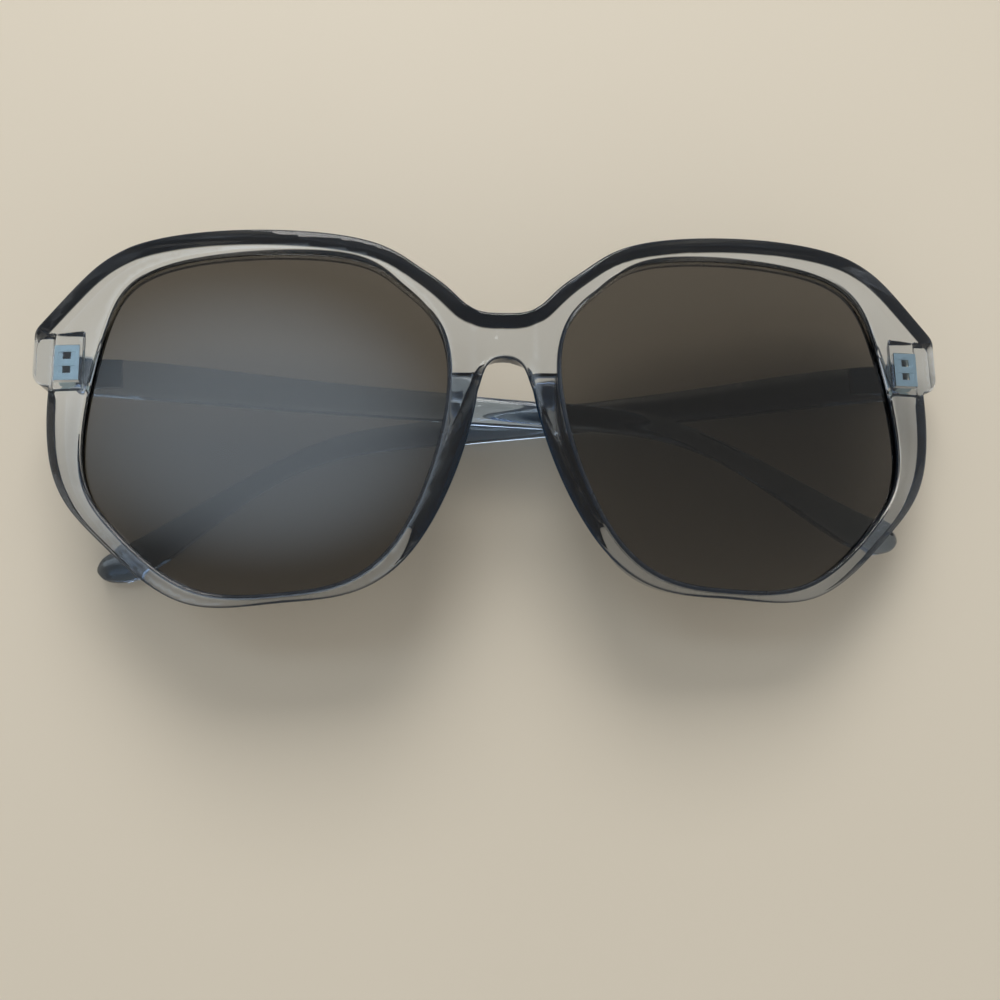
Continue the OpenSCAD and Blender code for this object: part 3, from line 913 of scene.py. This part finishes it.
def templeTree():
    tree = bpy.data.node_groups.new("temple_bar", "GeometryNodeTree")
    sockets = [("Geometry", "Geometry", "INPUT"), ("Thickness", "Float", "INPUT"),
               ("Corner", "Float", "INPUT"), ("Stations", "Int", "INPUT"), ("Sides", "Int", "INPUT"),
               ("Material", "Material", "INPUT"), ("Geometry", "Geometry", "OUTPUT")]
    for name, kind, way in sockets:
        tree.interface.new_socket(name=name, in_out=way, socket_type="NodeSocket" + kind)
    given = tree.nodes.new("NodeGroupInput")

    def take(name):
        return Wire(tree, given.outputs[name])

    sides = take("Sides")
    grid = addNode(tree, "GeometryNodeMeshGrid", {}, {
        "Size X": 1.0, "Size Y": 1.0, "Vertices X": take("Stations"), "Vertices Y": sides + 1})
    index = addNode(tree, "GeometryNodeInputIndex")
    row = ((index + 0.5) / (sides + 1)).math("FLOOR")
    column = (index - row * (sides + 1)).math("MODULO", sides)
    angle = column / sides * (2 * math.pi)
    across = angle.math("SINE")
    through = angle.math("COSINE")

    def squared(wave):
        size = wave.math("ABSOLUTE").math("POWER", take("Corner"))
        return size * wave.math("SIGN")

    place = addNode(tree, "GeometryNodeInputPosition")
    vector = {"data_type": "FLOAT_VECTOR"}

    def sampled(value):
        inputs = {0: take("Geometry"), "Value": value, "Index": row}
        return addNode(tree, "GeometryNodeSampleIndex", vector, inputs)

    spine = sampled(place)
    size = sampled(addNode(tree, "GeometryNodeInputNamedAttribute", vector, {"Name": "station"}))
    sizeParts = tree.nodes.new("ShaderNodeSeparateXYZ")
    tree.links.new(size.socket, sizeParts.inputs[0])
    half, share = Wire(tree, sizeParts.outputs[0]), Wire(tree, sizeParts.outputs[1])
    offset = addNode(tree, "ShaderNodeCombineXYZ", {}, {
        "X": 0.0, "Y": squared(across) * half * share,
        "Z": squared(through) * take("Thickness") * 0.5 * share})
    target = addNode(tree, "ShaderNodeVectorMath", {"operation": "ADD"}, {0: spine, 1: offset})
    shaped = addNode(tree, "GeometryNodeSetPosition", {}, {"Geometry": grid, "Position": target})
    closed = addNode(tree, "GeometryNodeMergeByDistance", {}, {
        "Geometry": shaped, "Distance": temple["weld"]})
    smooth = addNode(tree, "GeometryNodeSetShadeSmooth", {}, {"Geometry": closed, "Shade Smooth": True})
    plain = addNode(tree, "GeometryNodeRealizeInstances", {}, {"Geometry": smooth})
    coated = addNode(tree, "GeometryNodeSetMaterial", {}, {"Geometry": plain, "Material": take("Material")})
    result = tree.nodes.new("NodeGroupOutput")
    tree.links.new(coated.socket, result.inputs[0])
    return tree


def placeTemple(right):
    def place(points):
        p = np.asarray(points, float)
        c, s = math.cos(temple["lean"]), math.sin(temple["lean"]) * (-1 if right else 1)
        x, y, z = p[:, 0] * c - p[:, 1] * s, p[:, 0] * s + p[:, 1] * c, p[:, 2]
        if not right:
            return (np.stack([x, y, z], 1) + temple["left"]) * mm
        x = -x
        c, s = math.cos(temple["rightTurn"]), math.sin(temple["rightTurn"])
        return (np.stack([x * c + z * s, y, z * c - x * s], 1) + temple["right"]) * mm
    return place


def evaluated(shown):
    return bpy.data.meshes.new_from_object(shown.evaluated_get(bpy.context.evaluated_depsgraph_get()))


def barMesh(name, place):
    stations = templeStations()
    low = -temple["gap"] - temple["thickness"] / 2
    points = np.array([(x, y, low) for x, y, _, _ in stations])
    mesh = bpy.data.meshes.new(name)
    mesh.from_pydata([tuple(p * mm) for p in points], [(i, i + 1) for i in range(len(points) - 1)], [])
    sizes = mesh.attributes.new("station", "FLOAT_VECTOR", "POINT")
    sizes.data.foreach_set("vector", np.array([(h * mm, s, 0.0) for _, _, h, s in stations]).ravel())
    spine = addObject(name + "_spine", mesh)
    tree = templeTree()
    modifier = spine.modifiers.new("bar", "NODES")
    modifier.node_group = tree
    inputs = {item.name: item.identifier for item in tree.interface.items_tree if item.in_out == "INPUT"}
    modifier[inputs["Thickness"]] = temple["thickness"] * mm
    modifier[inputs["Corner"]] = temple["corner"]
    modifier[inputs["Stations"]] = len(stations)
    modifier[inputs["Sides"]] = temple["sides"]
    modifier[inputs["Material"]] = templeGrey
    bpy.context.view_layer.update()
    shown = evaluated(spine)
    bpy.data.objects.remove(spine)
    build = bmesh.new()
    build.from_mesh(shown)
    bmesh.ops.remove_doubles(build, verts=build.verts, dist=temple["weld"])
    moveTo(build.verts, place(np.array([v.co for v in build.verts]) / mm))
    faceOutwards(build)
    report(name, build)
    build.to_mesh(shown)
    build.free()
    return shown


# The block that cuts the hinge leaf's notch reaches past the temple's end
def notchBlock(place):
    seat, overrun = temple["leafSeat"], temple["leafOverrun"]
    leaf = (temple["leafLength"] + seat, temple["leafHeight"] + 2 * seat, temple["leafThickness"] + seat)
    cut = bmesh.new()
    bmesh.ops.create_cube(cut, size=1.0)
    corners = [(v.co[0] * (leaf[0] + overrun) - (leaf[0] - overrun) / 2, v.co[1] * leaf[1],
                v.co[2] * (leaf[2] + overrun) - temple["gap"] + (overrun - leaf[2]) / 2) for v in cut.verts]
    moveTo(cut.verts, place(np.array(corners)))
    bmesh.ops.recalc_face_normals(cut, faces=cut.faces)
    return addObject("notch", meshFrom("notch", cut))


def buildTemple(name, right):
    place = placeTemple(right)
    made = addObject(name, barMesh(name, place))
    tool = notchBlock(place)
    carve = made.modifiers.new("notch", "BOOLEAN")
    carve.object = tool
    carve.operation = "DIFFERENCE"
    carve.solver = "EXACT"
    bpy.context.view_layer.update()
    mesh = evaluated(made)
    made.modifiers.clear()
    made.data = mesh
    bpy.data.objects.remove(tool)
    mesh.materials.clear()
    mesh.materials.append(templeGrey)
    # Painted shade: each temple darkens towards its tip, where it lies in shade under the rim
    end = Vector(place(np.array([(-temple["length"], -temple["drop"], 0.0)]))[0])
    gaps = [(end - v.co).length / mm for v in mesh.vertices]
    shade = [float(temple["tipShade"] * (1 - ease(g / temple["tipReach"]))) for g in gaps]
    mesh.attributes.new("shade", "FLOAT", "POINT").data.foreach_set("value", shade)
    smoothTo(mesh, temple["sharp"])
    return made


templeRight = buildTemple("temple_right_clear", True)
templeLeft = buildTemple("temple_left_clear", False)


# Metal: the fitted solids with their edges eased, and small plates that narrow the hinges' windows

metal = {"edge": 0.06, "segments": 2, "fold": math.radians(35), "flat": math.radians(1), "weld": 1e-6,
         "plateX": 1.02, "plateY": 1.15, "plateWidth": 0.39, "plateHeight": 0.62, "plateTop": 0.1,
         "plateFoot": 0.55}


def slotPlates():
    z = hinge["blockZ"] + hinge["anchorDepth"]
    width, height = metal["plateWidth"], metal["plateHeight"]
    boxes = []
    for row in (-1, 1):
        for side in (-1, 1):
            x, y = hinge["x"] + side * metal["plateX"], hinge["y"] + row * metal["plateY"]
            boxes.append(((x - width, y - height, z - metal["plateFoot"]),
                          (x + width, y + height, z - metal["plateTop"])))
    return boxes


def easedCopy(node):
    build = bmesh.new()
    build.from_mesh(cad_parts[node].data)
    bmesh.ops.remove_doubles(build, verts=build.verts, dist=metal["weld"])
    bmesh.ops.dissolve_limit(build, angle_limit=metal["flat"], verts=build.verts, edges=build.edges)
    if node.startswith("front_hinge"):
        sign = -1 if node.endswith("right") else 1
        for low, high in slotPlates():
            cube = bmesh.ops.create_cube(build, size=1.0)["verts"]
            low, high = np.array(low), np.array(high)
            spots = [(low + high) / 2 + np.array(v.co) * (high - low) for v in cube]
            moveTo(cube, placeFront(np.array(spots) * [sign, 1, 1]))
            if sign < 0:
                bmesh.ops.reverse_faces(build, faces=list({f for v in cube for f in v.link_faces}))
    mesh = meshFrom(node + "_metal", build)
    made = addObject(node + "_metal", mesh)
    eased = made.modifiers.new("edges", "BEVEL")
    eased.width = metal["edge"] * mm
    eased.segments = metal["segments"]
    eased.limit_method = "ANGLE"
    eased.angle_limit = metal["fold"]
    smoothTo(mesh, sharpAngle)
    mesh.materials.clear()
    mesh.materials.append(leafMetal if node.startswith("temple") else hingeMetal)
    return made


metalPieces = {}
for side in ("right", "left"):
    for node in ("front_hinge_", "temple_hinge_", "hinge_screw_"):
        metalPieces[node + side] = easedCopy(node + side)

frontClear.data.materials.append(frameGrey)
for shown in (lensRight, lensLeft):
    shown.data.materials.append(lensGrey)
    shown.data.materials.append(lensEdge)

bodies = {"front_frame": "front", "lens_right": "front", "lens_left": "front",
          "temple_right": "right_temple", "temple_left": "left_temple"}
for shown, node, slot in ((frontClear, "front_frame", "clear_frame"), (lensRight, "lens_right", "lens_tint"),
                          (lensLeft, "lens_left", "lens_tint"), (templeRight, "temple_right", "clear_frame"),
                          (templeLeft, "temple_left", "clear_frame")):
    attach(shown, bodies[node])
    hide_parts(node)
for node, shown in metalPieces.items():
    owner = node.split("_")[-1] + "_temple" if node.startswith("temple") else "front"
    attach(shown, owner)
    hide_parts(node)
print("pieces in place")


# Floor, light and camera

floorLook = {"size": 3.0, "drop": 0.00005, "patch": (9.0, 2.0), "rough": 0.6,
             "tones": ((0.75, 0.68, 0.56, 1), (0.72, 0.65, 0.53, 1))}


def buildFloor():
    build = bmesh.new()
    bmesh.ops.create_grid(build, x_segments=1, y_segments=1, size=floorLook["size"])
    bmesh.ops.translate(build, verts=build.verts, vec=(0, 0, -floorLook["drop"]))
    mesh = meshFrom("floor", build)
    made = addObject("floor", mesh)
    material, tree = newMaterial("floor_pale")
    patch = noise(tree, *floorLook["patch"])
    shader = principled(tree, {
        "Base Color": twoTone(tree, patch, *floorLook["tones"]), "Roughness": floorLook["rough"]})
    addNode(tree, "ShaderNodeOutputMaterial", {}, {"Surface": shader})
    mesh.materials.append(material)


buildFloor()

window = {"place": (-0.04, 0.64, 0.64), "size": 0.5, "radiance": 5.6, "colour": (1.0, 0.98, 0.95)}


def addLamp(name, look):
    lamp = bpy.data.lights.new(name, "AREA")
    lamp.shape = "SQUARE"
    lamp.size = look["size"]
    lamp.energy = look["radiance"] * math.pi * look["size"] ** 2
    lamp.color = look["colour"]
    made = addObject(name, lamp)
    made.location = look["place"]
    made.rotation_mode = "QUATERNION"
    made.rotation_quaternion = (-Vector(look["place"])).to_track_quat("-Z", "Y")


addLamp("window", window)

# The room is bright at the horizon, and a soft patch of it shows in the right lens
room = {"horizon": 0.8, "above": 0.38, "height": 0.8, "colour": (1.0, 0.99, 0.97, 1),
        "patchX": 0.31, "patchY": 0.25, "narrowX": 2.6, "narrowY": 8.0, "patch": 2.4,
        "patchColour": (0.8, 0.95, 1.1, 1)}


def buildRoom():
    world = bpy.data.worlds.new("studio")
    bpy.context.scene.world = world
    world.use_nodes = True
    tree = world.node_tree
    tree.nodes.clear()
    soft = {"interpolation_type": "SMOOTHSTEP"}
    direction = addNode(tree, "ShaderNodeTexCoord", output="Generated")
    parts = tree.nodes.new("ShaderNodeSeparateXYZ")
    tree.links.new(direction.socket, parts.inputs[0])
    x, y, z = (Wire(tree, part) for part in parts.outputs)
    lift = addNode(tree, "ShaderNodeMapRange", soft, {
        "Value": z, "From Min": 0.0, "From Max": room["height"], "To Min": room["horizon"],
        "To Max": room["above"]})
    across = x + room["patchX"]
    along = y - room["patchY"]
    across = across * room["narrowX"]
    along = along * room["narrowY"]
    patch = addNode(tree, "ShaderNodeMapRange", soft, {
        "Value": across * across + along * along, "From Min": 0.0, "From Max": 1.0,
        "To Min": room["patch"], "To Max": 0.0})
    walls = addNode(tree, "ShaderNodeBackground", {}, {"Color": room["colour"], "Strength": lift})
    glow = addNode(tree, "ShaderNodeBackground", {}, {"Color": room["patchColour"], "Strength": patch})
    both = addNode(tree, "ShaderNodeAddShader", {}, {0: walls, 1: glow})
    addNode(tree, "ShaderNodeOutputWorld", {}, {"Surface": both})


buildRoom()

# The camera's place and its three directions were fitted to the photo
view = {"sensor": 36.0, "lens": 43.12, "near": 0.005, "far": 20.0, "place": (-9.373, -48.764, 201.143),
        "right": (0.99880, -0.01836, 0.04535), "up": (0.00935, 0.98144, 0.19152),
        "forward": (0.04803, 0.19087, -0.98044)}
camera = bpy.data.cameras.new("camera")
camera.sensor_width = view["sensor"]
camera.lens = view["lens"]
camera.clip_start = view["near"]
camera.clip_end = view["far"]
cameraObject = addObject("camera", camera)
turned = Matrix((view["right"], view["up"], -Vector(view["forward"]))).transposed().to_4x4()
turned.translation = Vector(view["place"]) * mm
cameraObject.matrix_world = turned
bpy.context.scene.camera = cameraObject
bpy.context.scene.view_settings.view_transform = "Standard"
